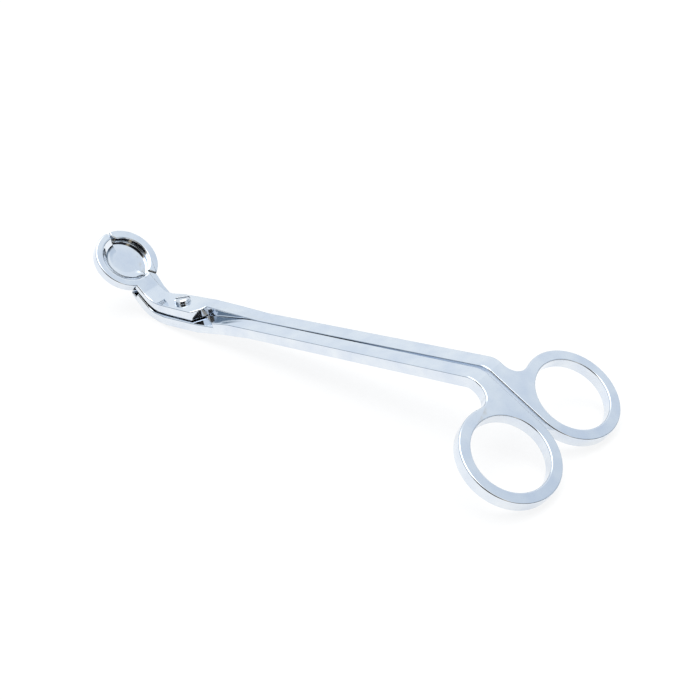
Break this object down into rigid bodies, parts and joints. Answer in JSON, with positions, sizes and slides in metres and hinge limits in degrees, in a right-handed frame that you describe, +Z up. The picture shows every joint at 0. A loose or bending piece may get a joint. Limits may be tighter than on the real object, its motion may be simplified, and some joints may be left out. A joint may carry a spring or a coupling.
{
  "type": "wick trimmer",
  "caption": "Scissor-handled candle wick trimmer: a crescent blade closes against a round tray that catches the cut wick, on long arms bent up at the head and down at the finger loops.",
  "frame": {"origin": "on the resting surface, under the middle of the trimmer's bounding box", "axes": "+X along the tool from the cutting head to the finger loops, +Y towards the tray lever's finger loop, +Z up as it lies on a table"},
  "size_m": [0.187, 0.0662, 0.0251],
  "materials": {
    "tray_lever": "bright chrome plate, polished, on forged steel",
    "blade_lever": "bright chrome plate, polished, on forged steel; crescent's inner wall ground",
    "pivot_screw": "plated turned steel, lightly worn slot",
    "pivot_washer": "plain stamped spring steel"
  },
  "bodies": {
    "blade_side": {"blade_lever": "blade_lever", "pivot_screw": "pivot_screw", "pivot_washer": "pivot_washer"},
    "tray_side": {"tray_lever": "tray_lever"}
  },
  "joints": [
    {"name": "lever_pivot", "type": "hinge", "parent": "blade_side", "child": "tray_side", "pos_m": [-0.05777, 0, 0.00647], "axis": [-0.1328, 0, 0.9911], "range_deg": [0, 30]}
  ]
}
